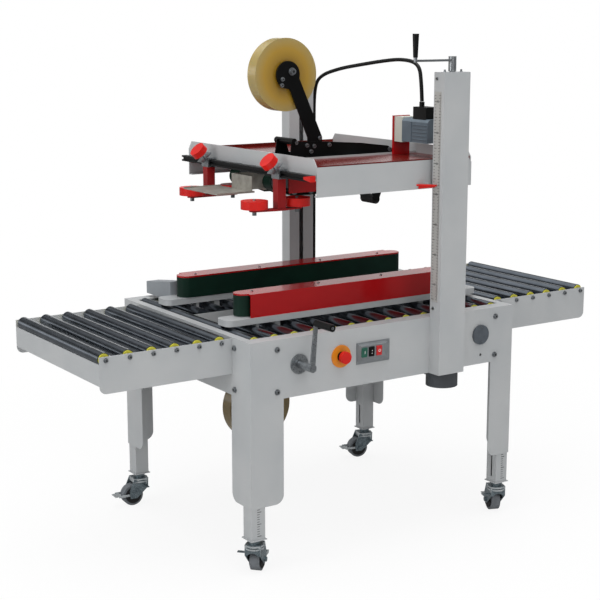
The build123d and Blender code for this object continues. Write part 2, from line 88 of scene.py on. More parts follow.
def makeCamera():
    data = bpy.data.cameras.new("photoCamera")
    data.lens = camera["lens"]
    data.sensor_width = camera["sensor"]
    data.clip_end = camera["farClip"]
    rig = bpy.data.objects.new("photoCamera", data)
    bpy.context.scene.collection.objects.link(rig)
    yaw, pitch = math.radians(camera["yaw"]), math.radians(camera["pitch"])
    ahead = Vector((math.cos(pitch) * math.cos(yaw), math.cos(pitch) * math.sin(yaw), -math.sin(pitch)))
    rig.location = at(*camera["place"])
    rig.rotation_euler = ahead.to_track_quat("-Z", "Y").to_euler()
    bpy.context.scene.camera = rig


makeCamera()
print("camera set")

studio = dict(
    skyLevel=0.5, glossDark=0.06, glossHorizon=1.15, glossHigh=0.95, glossBehind=0.22,
    horizonEnd=0.16, darkStart=0.26, darkEnd=0.44, ceilingStart=0.58, turnFrom=-0.3, turnTo=0.3,
    topPower=230, topSize=5.0, topPlace=(-0.3, -0.4, 5.4),
    keyPower=85, keySize=3.0, keyPlace=(-1.8, -5.8, 3.6),
    sidePower=95, sideSize=2.5, sidePlace=(-6.0, -0.5, 2.6),
    aim=(0, 0, 0.85),
)
white = (1, 1, 1, 1)


def makeStudio():
    world = bpy.data.worlds.new("studioSky")
    world.use_nodes = True
    bpy.context.scene.world = world
    tree = world.node_tree
    tree.nodes.clear()
    ray = addNode(tree, "ShaderNodeLightPath")
    seen = addNode(
        tree, "ShaderNodeMath",
        {0: ray.outputs["Is Camera Ray"], 1: ray.outputs["Is Transmission Ray"]}, operation="MAXIMUM",
    )
    # what shines back in gloss: a bright backdrop low behind the machine, a dark band, a lit ceiling,
    # and a darker room on the operator's side
    spot = addNode(tree, "ShaderNodeTexCoord")
    way = addNode(tree, "ShaderNodeSeparateXYZ", {0: spot.outputs["Generated"]})
    rise = addNode(tree, "ShaderNodeValToRGB", {"Fac": way.outputs["Z"]})
    first, last = rise.color_ramp.elements
    first.position, last.position = studio["horizonEnd"], studio["darkStart"]
    first.color = [studio["glossHorizon"]] * 3 + [1]
    last.color = [studio["glossDark"]] * 3 + [1]
    for place, value in (("darkEnd", "glossDark"), ("ceilingStart", "glossHigh")):
        rise.color_ramp.elements.new(studio[place]).color = [studio[value]] * 3 + [1]
    depth = addNode(tree, "ShaderNodeMapRange", {
        "Value": way.outputs["Y"], "From Min": studio["turnFrom"], "From Max": studio["turnTo"],
        "To Min": studio["glossBehind"], "To Max": 1.0,
    })
    shine = addNode(tree, "ShaderNodeMath", {0: rise.outputs[0], 1: depth.outputs[0]}, operation="MULTIPLY")
    level = addNode(tree, "ShaderNodeMix", {
        "Factor": ray.outputs["Is Glossy Ray"], "A": studio["skyLevel"], "B": shine.outputs[0],
    })
    soft = addNode(tree, "ShaderNodeBackground", {"Color": white, "Strength": level.outputs["Result"]})
    even = addNode(tree, "ShaderNodeBackground", {"Color": white, "Strength": 1.0})
    mixed = addNode(tree, "ShaderNodeMixShader", {
        0: seen.outputs[0], 1: soft.outputs[0], 2: even.outputs[0],
    })
    addNode(tree, "ShaderNodeOutputWorld", {"Surface": mixed.outputs[0]})
    target = Vector(studio["aim"])
    for side in ("top", "key", "side"):
        data = bpy.data.lights.new(side + "Softbox", "AREA")
        data.energy = studio[side + "Power"]
        data.size = studio[side + "Size"]
        lamp = bpy.data.objects.new(side + "Softbox", data)
        lamp.location = studio[side + "Place"]
        lamp.rotation_euler = (target - lamp.location).to_track_quat("-Z", "Y").to_euler()
        bpy.context.scene.collection.objects.link(lamp)


# the share of plain white grows from nearShare at fadeFrom to all of it at fadeTo, in metres
floorLook = dict(colour="#e9e9e9", reach=60.0, fadeFrom=0.6, fadeTo=2.4, nearShare=0.88, glossLevel=0.3)


def makeFloor():
    mesh = bpy.data.meshes.new("floor")
    r = floorLook["reach"]
    mesh.from_pydata([(-r, -r, 0), (r, -r, 0), (r, r, 0), (-r, r, 0)], [], [(0, 1, 2, 3)])
    floor = bpy.data.objects.new("floor", mesh)
    bpy.context.scene.collection.objects.link(floor)
    material = bpy.data.materials.new("paleStudioFloor")
    material.use_nodes = True
    tree = material.node_tree
    tree.nodes.clear()
    ray = addNode(tree, "ShaderNodeLightPath")
    matt = addNode(tree, "ShaderNodeBsdfDiffuse", {"Color": linear(floorLook["colour"])})
    lit = addNode(tree, "ShaderNodeEmission", {"Color": white, "Strength": 1.0})
    dim = addNode(tree, "ShaderNodeEmission", {"Color": white, "Strength": floorLook["glossLevel"]})
    spot = addNode(tree, "ShaderNodeTexCoord")
    away = addNode(tree, "ShaderNodeVectorMath", {0: spot.outputs["Object"]}, operation="LENGTH")
    fade = addNode(tree, "ShaderNodeMapRange", {
        "Value": away.outputs["Value"], "From Min": floorLook["fadeFrom"], "From Max": floorLook["fadeTo"],
        "To Min": floorLook["nearShare"], "To Max": 1.0,
    })
    share = addNode(
        tree, "ShaderNodeMath", {0: ray.outputs["Is Camera Ray"], 1: fade.outputs[0]}, operation="MULTIPLY",
    )
    unlit = addNode(tree, "ShaderNodeMixShader", {
        0: ray.outputs["Is Glossy Ray"], 1: matt.outputs[0], 2: dim.outputs[0],
    })
    mixed = addNode(tree, "ShaderNodeMixShader", {
        0: share.outputs[0], 1: unlit.outputs[0], 2: lit.outputs[0],
    })
    addNode(tree, "ShaderNodeOutputMaterial", {"Surface": mixed.outputs[0]})
    mesh.materials.append(material)


makeStudio()
makeFloor()
bpy.context.scene.view_settings.view_transform = "Standard"
print("studio and floor made")

# colour and dark are the two ends of the slow tint change, tintMm its size; grainMm is the
# size of the fine relief, stretch draws that relief out along x, y and z
finishes = dict(
    warmPowderCoat=dict(
        colour="#adafb0", dark="#a5a8aa", metallic=0.0, roughness=0.42, spread=0.06,
        tintMm=160, grainMm=5.0, relief=0.05, coat=0.1,
    ),
    shadedPowderCoat=dict(
        colour="#8f9499", dark="#868b90", metallic=0.0, roughness=0.5, spread=0.06,
        tintMm=120, grainMm=5.0, relief=0.05, coat=0.0,
    ),
    charcoalPowderCoat=dict(
        colour="#3f4348", dark="#36393d", metallic=0.0, roughness=0.5, spread=0.08,
        tintMm=60, grainMm=4.0, relief=0.08, coat=0.0,
    ),
    blackPowderCoat=dict(
        colour="#090a0b", dark="#060707", metallic=0.0, roughness=0.38, spread=0.08,
        tintMm=60, grainMm=4.0, relief=0.08, coat=0.0, specular=0.18,
    ),
    glossRedEnamel=dict(
        colour="#ac1014", dark="#9c0c10", metallic=0.0, roughness=0.17, spread=0.04,
        tintMm=200, grainMm=8.0, relief=0.02, coat=0.0, specular=0.35,
    ),
    brightRedPlastic=dict(
        colour="#c91c15", dark="#b81611", metallic=0.0, roughness=0.34, spread=0.06,
        tintMm=40, grainMm=3.0, relief=0.05, coat=0.0, specular=0.28,
    ),
    redPowderCoat=dict(
        colour="#931718", dark="#801315", metallic=0.0, roughness=0.35, spread=0.06,
        tintMm=80, grainMm=4.0, relief=0.06, coat=0.0, specular=0.25,
    ),
    # a darker, browner copy of the red enamel for the tops of the head's lids, as painted shade and painted
    # reflection
    paintedShadeRedEnamel=dict(
        colour="#6a1812", dark="#5a120e", metallic=0.0, roughness=0.24, spread=0.05,
        tintMm=160, grainMm=8.0, relief=0.02, coat=0.0, specular=0.3,
    ),
    creamEnamel=dict(
        colour="#c4c6bd", dark="#babcb2", metallic=0.0, roughness=0.4, spread=0.06,
        tintMm=60, grainMm=4.0, relief=0.05, coat=0.0,
    ),
    motorEnamel=dict(
        colour="#5d6a74", dark="#53606a", metallic=0.0, roughness=0.4, spread=0.08,
        tintMm=50, grainMm=4.0, relief=0.1, coat=0.0,
    ),
    dyedGreenBelt=dict(
        colour="#0a2a1f", dark="#072118", metallic=0.0, roughness=0.5, spread=0.08,
        tintMm=90, grainMm=2.5, relief=0.2, coat=0.0, specular=0.2,
    ),
    rollerChrome=dict(
        colour="#6f767f", dark="#5f666e", metallic=1.0, roughness=0.24, spread=0.06,
        tintMm=70, grainMm=6.0, relief=0.03, coat=0.0, stretch=(1, 0.05, 1),
    ),
    zincPlate=dict(
        colour="#9fa3a6", dark="#878b8f", metallic=0.9, roughness=0.3, spread=0.12,
        tintMm=14, grainMm=3.0, relief=0.08, coat=0.0,
    ),
    dullZinc=dict(
        colour="#7d8284", dark="#666b6e", metallic=0.8, roughness=0.42, spread=0.12,
        tintMm=12, grainMm=3.0, relief=0.1, coat=0.0,
    ),
    wornSteel=dict(
        colour="#aaa79f", dark="#8d8a82", metallic=0.55, roughness=0.34, spread=0.12,
        tintMm=25, grainMm=4.0, relief=0.08, coat=0.0, stretch=(0.1, 1, 1),
    ),
    castAluminium=dict(
        colour="#83878a", dark="#777b7e", metallic=0.25, roughness=0.45, spread=0.1,
        tintMm=20, grainMm=3.0, relief=0.12, coat=0.0,
    ),
    blackGrip=dict(
        colour="#080909", dark="#050606", metallic=0.0, roughness=0.42, spread=0.08,
        tintMm=20, grainMm=2.5, relief=0.12, coat=0.0, specular=0.22,
    ),
    blackRubber=dict(
        colour="#141516", dark="#101011", metallic=0.0, roughness=0.7, spread=0.08,
        tintMm=20, grainMm=2.5, relief=0.2, coat=0.0,
    ),
    darkZinc=dict(
        colour="#7f8b91", dark="#5c686e", metallic=0.6, roughness=0.28, spread=0.1,
        tintMm=14, grainMm=3.0, relief=0.08, coat=0.0,
    ),
    # bright zinc for the brake pedals, and a painted highlight on the casters' crown rings
    brightZincAndPaintedGlint=dict(
        colour="#cfd4d6", dark="#b4babd", metallic=0.6, roughness=0.25, spread=0.08,
        tintMm=14, grainMm=3.0, relief=0.06, coat=0.0,
    ),
    greyTread=dict(
        colour="#6b6f74", dark="#5f6367", metallic=0.0, roughness=0.65, spread=0.1,
        tintMm=15, grainMm=3.0, relief=0.15, coat=0.0,
    ),
    yellowNylon=dict(
        colour="#cbc542", dark="#bfb836", metallic=0.0, roughness=0.45, spread=0.06,
        tintMm=12, grainMm=3.0, relief=0.05, coat=0.0,
    ),
    orangePlate=dict(
        colour="#d98318", dark="#c97610", metallic=0.0, roughness=0.4, spread=0.06,
        tintMm=20, grainMm=3.0, relief=0.05, coat=0.0,
    ),
    greyLid=dict(
        colour="#50575e", dark="#474d54", metallic=0.0, roughness=0.45, spread=0.08,
        tintMm=20, grainMm=3.0, relief=0.08, coat=0.0,
    ),
    greenRocker=dict(
        colour="#1d5c4a", dark="#174e3f", metallic=0.0, roughness=0.3, spread=0.05,
        tintMm=10, grainMm=3.0, relief=0.03, coat=0.2,
    ),
    redRocker=dict(
        colour="#c4161a", dark="#b01216", metallic=0.0, roughness=0.3, spread=0.05,
        tintMm=10, grainMm=3.0, relief=0.03, coat=0.2,
    ),
    rulerWhite=dict(
        colour="#b4b4b1", dark="#aaaaa7", metallic=0.3, roughness=0.4, spread=0.08,
        tintMm=60, grainMm=3.0, relief=0.04, coat=0.0,
    ),
    # black for printed marks, and as painted shade in the leg tubes and the screw sockets
    inkAndShadeBlack=dict(
        colour="#26282a", dark="#1f2122", metallic=0.0, roughness=0.6, spread=0.05,
        tintMm=10, grainMm=3.0, relief=0.02, coat=0.0,
    ),
    markWhite=dict(
        colour="#e8e8e6", dark="#dededc", metallic=0.0, roughness=0.5, spread=0.05,
        tintMm=10, grainMm=3.0, relief=0.02, coat=0.0,
    ),
)
# what all finishes share: the detail of the two noises and the ends of the tint ramp; the relief is
# as high as a grain divided by grainParts
surface = dict(slowDetail=3.0, fineDetail=2.0, tintFrom=0.3, tintTo=0.7, grainParts=8, coatRoughness=0.12)
made = {}


def finishMaterial(name):
    if name in made:
        return made[name]
    look = finishes[name]
    material = bpy.data.materials.new(name)
    material.use_nodes = True
    tree = material.node_tree
    shader = tree.nodes["Principled BSDF"]
    where = addNode(tree, "ShaderNodeTexCoord").outputs["Object"]
    stretch = look.get("stretch", (1, 1, 1))
    drawn = addNode(tree, "ShaderNodeMapping", {"Vector": where, "Scale": stretch}).outputs[0]
    slow = addNode(tree, "ShaderNodeTexNoise", {
        "Vector": where, "Scale": 1000 / look["tintMm"], "Detail": surface["slowDetail"],
    })
    fine = addNode(tree, "ShaderNodeTexNoise", {
        "Vector": drawn, "Scale": 1000 / look["grainMm"], "Detail": surface["fineDetail"],
    })
    tint = addNode(tree, "ShaderNodeValToRGB", {"Fac": slow.outputs["Fac"]})
    first, last = tint.color_ramp.elements
    first.position, last.position = surface["tintFrom"], surface["tintTo"]
    first.color, last.color = linear(look["dark"]), linear(look["colour"])
    rough = addNode(tree, "ShaderNodeMapRange", {
        "Value": fine.outputs["Fac"],
        "To Min": look["roughness"] - look["spread"], "To Max": look["roughness"] + look["spread"],
    })
    bump = addNode(tree, "ShaderNodeBump", {
        "Height": fine.outputs["Fac"], "Strength": look["relief"],
        "Distance": look["grainMm"] / (1000 * surface["grainParts"]),
    })
    tree.links.new(tint.outputs["Color"], shader.inputs["Base Color"])
    tree.links.new(rough.outputs[0], shader.inputs["Roughness"])
    tree.links.new(bump.outputs[0], shader.inputs["Normal"])
    shader.inputs["Metallic"].default_value = look["metallic"]
    shader.inputs["Specular IOR Level"].default_value = look.get("specular", 0.5)
    shader.inputs["Coat Weight"].default_value = look["coat"]
    shader.inputs["Coat Roughness"].default_value = surface["coatRoughness"]
    made[name] = material
    return material


# radii in metres; middle is where the face colour lies between the core and the rim
tape = dict(
    layerMm=3.0, roughness=0.32, coreRadius=0.045, rimRadius=0.1215, middle=0.55,
    relief=0.15, reliefHeight=0.0004, coat=0.5, glow=0.25, glowReach=(0.02, 0.012, 0.004),
)
rolls = dict(
    upper_roll=dict(name="woundTapeTop", x=-142, z=1555, core="#8c6c1e", face="#a8862e", rim="#a18e58"),
    lower_roll=dict(name="shadedWoundTapeLow", x=-252, z=426, core="#5a4820", face="#6c5a30", rim="#6a5a36"),
# the lower roll under the table gets darker copies of the upper roll's colours as painted shade
)


def tapeMaterial(name, x, z, core, face, rim):
    # clear packing tape wound on itself: amber through its thickness, paler and glossy at the rim
    material = bpy.data.materials.new(name)
    material.use_nodes = True
    tree = material.node_tree
    shader = tree.nodes["Principled BSDF"]
    where = addNode(tree, "ShaderNodeTexCoord").outputs["Object"]
    centre = at(x, 0, z)
    flat = addNode(tree, "ShaderNodeMapping", {
        "Vector": where, "Location": (-centre.x, 0, -centre.z), "Scale": (1, 0, 1),
    })
    away = addNode(tree, "ShaderNodeVectorMath", {0: flat.outputs[0]}, operation="LENGTH")
    share = addNode(tree, "ShaderNodeMapRange", {
        "Value": away.outputs["Value"], "From Min": tape["coreRadius"], "From Max": tape["rimRadius"],
    })
    ramp = addNode(tree, "ShaderNodeValToRGB", {"Fac": share.outputs[0]})
    first, last = ramp.color_ramp.elements
    first.color, last.color = linear(core), linear(rim)
    ramp.color_ramp.elements.new(tape["middle"]).color = linear(face)
    turns = 2000 * math.pi / tape["layerMm"]
    rings = addNode(tree, "ShaderNodeMath", {0: away.outputs["Value"], 1: turns}, operation="MULTIPLY")
    wave = addNode(tree, "ShaderNodeMath", {0: rings.outputs[0]}, operation="SINE")
    bump = addNode(tree, "ShaderNodeBump", {
        "Height": wave.outputs[0], "Strength": tape["relief"], "Distance": tape["reliefHeight"],
    })
    tree.links.new(ramp.outputs["Color"], shader.inputs["Base Color"])
    tree.links.new(bump.outputs[0], shader.inputs["Normal"])
    shader.inputs["Roughness"].default_value = tape["roughness"]
    shader.inputs["Coat Weight"].default_value = tape["coat"]
    shader.inputs["Subsurface Weight"].default_value = tape["glow"]
    shader.inputs["Subsurface Radius"].default_value = tape["glowReach"]
    return material


def paintNode(name, base, *areas):
    # base finish for a CAD node, and other finishes where a test of the face's centre holds
    mesh = nodes[name].data
    mesh.materials.clear()
    for finish in (base, *[a[0] for a in areas]):
        mesh.materials.append(finish if isinstance(finish, bpy.types.Material) else finishMaterial(finish))
    for face in mesh.polygons:
        x, y, z = face.center.x * 1000, face.center.y * 1000 - yMid, face.center.z * 1000
        face.material_index = 0
        for i, (_, test) in enumerate(areas):
            if test(x, y, z):
                face.material_index = i + 1
                break


plain = dict(
    warmPowderCoat=[
        "front_panel", "rear_panel", "cross_plates", "leg_angles", "wing_plates", "bed_rails",
        "near_column", "far_column", "near_belt_base", "far_belt_base", "head_side_plates",
        "head_end_plates", "head_bars",
    ],
    shadedPowderCoat=["far_end_box"],
    charcoalPowderCoat=["chain_cover"],
    blackPowderCoat=["cartridge", "tape_arm"],
    glossRedEnamel=["near_belt_cover", "far_belt_cover"],
    brightRedPlastic=[
        "near_press_front", "near_press_back", "far_press_front", "far_press_back", "pointer",
    ],
    dyedGreenBelt=["near_belt", "far_belt", "head_belts"],
    rollerChrome=["wing_rollers", "bed_rollers"],
    zincPlate=["near_screw", "far_screw", "belt_rods"],
    dullZinc=["carriages", "head_belt_frames"],
    wornSteel=["ski"],
    castAluminium=["switch_box"],
    blackRubber=["rear_roller"],
    rulerWhite=["ruler"],
)


# where one finish gives way to the next on a CAD piece, in mm as part.py draws it
seams = dict(
    tubeX=510, tubeY=398, tubeInside=22.6, tubeTop=560,
    lidGap=113, lidRim=1277, lidUnder=1272,
    topGripX=100, topGripZ=1615, frontGripY=-510,
    motorFootY=-121.5, motorFootTop=1411.5, gearFrontY=-165.5, gearBackY=-120.9, gearTop=1409,
    barEndY=-380, barBack=-289, bracketX=-289.5,
    pressX=-300, barZ=1252, knobStart=42, clampLow=1234, collarLow=1139.2, collarHigh=1180, postHalf=20,
    nutTop=1133.5, stopX=-197, stopReach=38, ringY=-430.5, roundCoverX=300, buttonY=-443.5,
    cartridgeY=41.5, crownFlanges=(87.5, 96.5), flangeHalf=3, treadStart=29,
)


def paintPress(name):
    def outward(x, z):
        # how far a point lies from the bar along the tilted clamping screw
        return (z - seams["barZ"] - x + seams["pressX"]) / math.sqrt(2)

    paintNode(
        name, "redPowderCoat",
        ("brightRedPlastic", lambda x, y, z: outward(x, z) > seams["knobStart"]),
        ("zincPlate", lambda x, y, z: z > seams["clampLow"] and outward(x, z) <= seams["knobStart"]),
        ("zincPlate", lambda x, y, z: (
            seams["collarLow"] < z < seams["collarHigh"] and abs(x - seams["pressX"]) > seams["postHalf"]
        )),
        ("dullZinc", lambda x, y, z: z < seams["nutTop"]),
    )


def paintCaster(corner):
    # the crown's two flange rings get bright zinc as a painted highlight of their reflections
    paintNode("fork_" + corner, "darkZinc", ("brightZincAndPaintedGlint", lambda x, y, z: any(
        abs(z - flange) < seams["flangeHalf"] for flange in seams["crownFlanges"]
    )))
    low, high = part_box("wheel_" + corner)
    middle = (low + high) / 2
    axle = Vector([j for j in frame["joints"] if j["name"] == "wheel_spin_" + corner][0]["axis"])

    def tread(x, y, z):
        off = at(x, y, z) - middle
        return (off - off.dot(axle) * axle).length > seams["treadStart"] / 1000

    paintNode("wheel_" + corner, "blackRubber", ("greyTread", tread))


def paintFrame():
    for finish, names in plain.items():
        for name in names:
            paintNode(name, finish)
    for name, look in rolls.items():
        paintNode(name, tapeMaterial(**look))
    # the inside faces of the leg tubes are painted black as painted shade
    paintNode("leg_tubes", "warmPowderCoat", ("inkAndShadeBlack", lambda x, y, z: (
        abs(abs(x) - seams["tubeX"]) < seams["tubeInside"]
        and abs(abs(y) - seams["tubeY"]) < seams["tubeInside"] and z < seams["tubeTop"]
    )))
    paintNode(
        "head_belt_covers", "glossRedEnamel",
        ("warmPowderCoat", lambda x, y, z: abs(y) < seams["lidGap"] and z > seams["lidRim"]),
        # the tops of the lids get the darker red as painted shade and reflection
        ("paintedShadeRedEnamel", lambda x, y, z: z > seams["lidUnder"]),
    )
    paintNode("top_crank", "zincPlate", (
        "blackGrip", lambda x, y, z: x < seams["topGripX"] and z > seams["topGripZ"],
    ))
    paintNode("front_crank", "zincPlate", ("blackGrip", lambda x, y, z: y < seams["frontGripY"]))
    paintNode(
        "head_motor", "motorEnamel",
        ("glossRedEnamel", lambda x, y, z: y > seams["motorFootY"] and z < seams["motorFootTop"]),
        ("creamEnamel", lambda x, y, z: (
            seams["gearFrontY"] < y <= seams["gearBackY"] and z < seams["gearTop"]
        )),
        ("blackGrip", lambda x, y, z: z > seams["gearTop"]),
    )
    paintNode(
        "guide_bar", "blackPowderCoat",
        ("brightRedPlastic", lambda x, y, z: y < seams["barEndY"] and x < seams["barBack"]),
        ("dullZinc", lambda x, y, z: x > seams["bracketX"]),
    )
    for name in ("near_press", "far_press"):
        paintPress(name)
    paintNode(
        "panel_fittings", "zincPlate",
        ("orangePlate", lambda x, y, z: abs(x - seams["stopX"]) < seams["stopReach"] and y > seams["ringY"]),
        ("blackGrip", lambda x, y, z: abs(x - seams["stopX"]) < seams["stopReach"]),
        ("greyLid", lambda x, y, z: x > seams["roundCoverX"]),
    )
    paintNode("stop_button", "brightRedPlastic", ("blackGrip", lambda x, y, z: y > seams["buttonY"]))
    paintNode("lower_cartridge", "blackPowderCoat", (
        "zincPlate", lambda x, y, z: abs(y) > seams["cartridgeY"],
    ))
    for corner in ("near_infeed", "near_outfeed", "far_infeed", "far_outfeed"):
        paintCaster(corner)


paintFrame()
print("CAD pieces painted", len(made), "finishes")


def keepPiece(name, mesh, body):
    piece = bpy.data.objects.new(name, mesh)
    bpy.context.scene.collection.objects.link(piece)
    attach(piece, body)
    return piece


def bakeTree(name, tree, values, body, mesh=None):
    # runs a Geometry Nodes tree once and keeps its result as a plain mesh on a body
    source = bpy.data.objects.new(name + "Source", mesh or bpy.data.meshes.new(name + "Source"))
    bpy.context.scene.collection.objects.link(source)
    modifier = source.modifiers.new(name, "NODES")
    modifier.node_group = tree
    ids = {item.name: item.identifier for item in tree.interface.items_tree if item.in_out == "INPUT"}
    for label, value in values.items():
        modifier[ids[label]] = value
    source.update_tag()
    view = bpy.context.evaluated_depsgraph_get()
    result = bpy.data.meshes.new_from_object(
        source.evaluated_get(view), preserve_all_data_layers=True, depsgraph=view,
    )
    result.name = name
    source.modifiers.remove(modifier)
    bpy.data.objects.remove(source)
    return keepPiece(name, result, body)


def newTree(name, inputs):
    tree = bpy.data.node_groups.new(name, "GeometryNodeTree")
    tree.interface.new_socket("Geometry", in_out="OUTPUT", socket_type="NodeSocketGeometry")
    tree.interface.new_socket("Geometry", in_out="INPUT", socket_type="NodeSocketGeometry")
    for label, kind in inputs.items():
        tree.interface.new_socket(label, in_out="INPUT", socket_type="NodeSocket" + kind)
    start = addNode(tree, "NodeGroupInput")
    return tree, start.outputs


# radii and depths as shares of the head's diameter and height; the seats lift a disc by its depth
screwHead = dict(
    flange=0.5, cap=0.38, socket=0.2, flangeDepth=0.3, sides=24, socketSides=6, seat=0.5, socketSeat=0.53,
)


def makeScrewTree():
    # a flanged head on each point, turned to the point's facing, with a black hexagon disc on top as painted
    # shade for its socket
    tree, given = newTree("screwHeads", {
        "Diameter": "Float", "Height": "Float", "Steel": "Material", "SocketShade": "Material",
    })
    facing = addNode(tree, "GeometryNodeInputNamedAttribute", {"Name": "facing"}, data_type="FLOAT_VECTOR")
    turn = addNode(
        tree, "FunctionNodeAlignRotationToVector", {"Vector": facing.outputs["Attribute"]}, axis="Z",
    )

    def times(value, factor):
        return addNode(tree, "ShaderNodeMath", {0: value, 1: factor}, operation="MULTIPLY").outputs[0]

    width, height = given["Diameter"], given["Height"]
    head = addNode(tree, "GeometryNodeJoinGeometry")
    for radius, depth, sides, material, seat in (
        (times(width, screwHead["flange"]), times(height, screwHead["flangeDepth"]), screwHead["sides"],
         "Steel", screwHead["seat"]),
        (times(width, screwHead["cap"]), height, screwHead["sides"], "Steel", screwHead["seat"]),
        # the socket: a black hexagon disc standing for the shade in its recess
        (times(width, screwHead["socket"]), height, screwHead["socketSides"],
         "SocketShade", screwHead["socketSeat"]),
    ):
        disc = addNode(tree, "GeometryNodeMeshCylinder", {
            "Vertices": sides, "Radius": radius, "Depth": depth,
        })
        place = addNode(tree, "ShaderNodeCombineXYZ", {"Z": times(depth, seat)})
        moved = addNode(tree, "GeometryNodeTransform", {
            "Geometry": disc.outputs["Mesh"], "Translation": place.outputs[0],
        })
        dressed = addNode(tree, "GeometryNodeSetMaterial", {
            "Geometry": moved.outputs[0], "Material": given[material],
        })
        tree.links.new(dressed.outputs[0], head.inputs[0])
    heads = addNode(tree, "GeometryNodeInstanceOnPoints", {
        "Points": given["Geometry"], "Instance": head.outputs[0], "Rotation": turn.outputs[0],
    })
    real = addNode(tree, "GeometryNodeRealizeInstances", {"Geometry": heads.outputs[0]})
    addNode(tree, "NodeGroupOutput", {0: real.outputs[0]})
    return tree


def pointMesh(name, spots):
    # spots are (x, y, z, direction) with the direction as -x, +y and so on
    ways = {"-x": (-1, 0, 0), "+x": (1, 0, 0), "-y": (0, -1, 0), "+y": (0, 1, 0), "+z": (0, 0, 1)}
    mesh = bpy.data.meshes.new(name)
    mesh.from_pydata([at(*s[:3]) for s in spots], [], [])
    facing = mesh.attributes.new("facing", "FLOAT_VECTOR", "POINT")
    for i, s in enumerate(spots):
        facing.data[i].vector = ways[s[3]]
    return mesh


# the roller axles along x, as part.py sets them out
axles = dict(wingEnd=972.5, wingPitch=79.4, wingCount=6, bedEnd=487.5, bedPitch=75.0, bedCount=14, height=747)
wingAxes = [
    side * (axles["wingEnd"] - axles["wingPitch"] * i) for side in (-1, 1) for i in range(axles["wingCount"])
]
coverX = (-382, -120, 142, 404)
boss = dict(x=-358.5, z=674.5, y=-432, ring=25)
roundCover = dict(x=390, z=674, y=-434, ring=27)


def bothSides(places, reach, z):
    # the same spots on the near and the far side
    return [(x, side * reach, z, "-y" if side < 0 else "+y") for x in places for side in (-1, 1)]


screws = dict(
    bodyBolts=dict(body="frame", diameter=19, height=7, spots=[
        *[spot for x in (-440, 458) for z in (730, 594) for spot in bothSides((x,), 426, z)],
        *[
            (side * 538, y, z, "-x" if side < 0 else "+x")
            for y in (-334, 334) for z in (730, 596) for side in (-1, 1)
        ],
    ]),
    axleBolts=dict(body="frame", diameter=15, height=7, spots=bothSides(wingAxes, 317, axles["height"])),
    rulerScrews=dict(body="frame", diameter=11, height=4, spots=[
        (167, -441, 1549, "-x"), (167, -442, 794, "-x"),
    ]),
    smallScrews=dict(body="frame", diameter=6, height=2, spots=[
        *[
            (roundCover["x"], roundCover["y"], roundCover["z"] + side * roundCover["ring"], "-y")
            for side in (-1, 1)
        ],
        (-129, -429, 646, "-y"), (-10, -429, 703, "-y"),
        *[
            (boss["x"] + boss["ring"] * math.cos(a), boss["y"], boss["z"] + boss["ring"] * math.sin(a), "-y")
            for a in (0.5, 2.6, 4.7)
        ],
    ]),
    columnStuds=dict(body="frame", diameter=9, height=8, spots=[
        (x, y, 1570, "+z") for y in (-452, 452) for x in (188.5, 257)
    ]),
    armBolts=dict(body="head", diameter=15, height=6, spots=[
        *[(x, -41, z, "-y") for x, z in (
            (-69, 1317), (-39.6, 1313.5), (23.5, 1315), (282.7, 1288), (-113.8, 1328), (-52, 1296),
        )],
        *[(x, -38, z, "-y") for x, z in ((-14, 1340), (-165, 1541), (-168, 1521))],
    ]),
    nearCoverScrews=dict(body="near_side_belt", diameter=10, height=3, spots=[
        (x, -186, 871, "+z") for x in coverX
    ]),
    farCoverScrews=dict(body="far_side_belt", diameter=10, height=3, spots=[
        (x, 186, 871, "+z") for x in coverX
    ]),
    gripEnd=dict(body="width_crank", diameter=12, height=2, spots=[(-344.5, -588.2, 816.5, "-y")]),
    spindleNut=dict(body="head", diameter=26, height=12, spots=[(-128, -38, 1566, "-y")]),
)


def makeScrews():
    tree = makeScrewTree()
    for name, row in screws.items():
        values = {
            "Diameter": row["diameter"] / 1000, "Height": row["height"] / 1000,
            "Steel": finishMaterial("zincPlate"), "SocketShade": finishMaterial("inkAndShadeBlack"),
        }
        bakeTree(name, tree, values, row["body"], pointMesh(name + "Points", row["spots"]))


# the bearing's radius and length are shares of the sleeve's; reach is where a row of caps lies in y
rollerCaps = dict(
    radius=18.0, length=4.0, bearingRadius=0.55, bearingLength=1.12, sides=32, bearingSides=20,
    bedReach=368.0, wingReach=304.0,
)


def makeCapTree():
    # a row of roller end caps: a nylon sleeve and the bearing in it
    tree, given = newTree("rollerCaps", {
        "Count": "Int", "Start": "Vector", "Step": "Vector", "Radius": "Float", "Length": "Float",
        "Nylon": "Material", "Bearing": "Material",
    })
    row = addNode(tree, "GeometryNodeMeshLine", {
        "Count": given["Count"], "Start Location": given["Start"], "Offset": given["Step"],
    })
    inner = addNode(
        tree, "ShaderNodeMath", {0: given["Radius"], 1: rollerCaps["bearingRadius"]}, operation="MULTIPLY",
    )
    longer = addNode(
        tree, "ShaderNodeMath", {0: given["Length"], 1: rollerCaps["bearingLength"]}, operation="MULTIPLY",
    )
    sleeve = addNode(tree, "GeometryNodeMeshCylinder", {
        "Vertices": rollerCaps["sides"], "Radius": given["Radius"], "Depth": given["Length"],
    })
    bearing = addNode(tree, "GeometryNodeMeshCylinder", {
        "Vertices": rollerCaps["bearingSides"], "Radius": inner.outputs[0], "Depth": longer.outputs[0],
    })
    both = addNode(tree, "GeometryNodeJoinGeometry")
    for part, label in ((sleeve, "Nylon"), (bearing, "Bearing")):
        dressed = addNode(tree, "GeometryNodeSetMaterial", {
            "Geometry": part.outputs["Mesh"], "Material": given[label],
        })
        tree.links.new(dressed.outputs[0], both.inputs[0])
    caps = addNode(tree, "GeometryNodeInstanceOnPoints", {
        "Points": row.outputs[0], "Instance": both.outputs[0], "Rotation": (math.pi / 2, 0, 0),
    })
    real = addNode(tree, "GeometryNodeRealizeInstances", {"Geometry": caps.outputs[0]})
    addNode(tree, "NodeGroupOutput", {0: real.outputs[0]})
    return tree


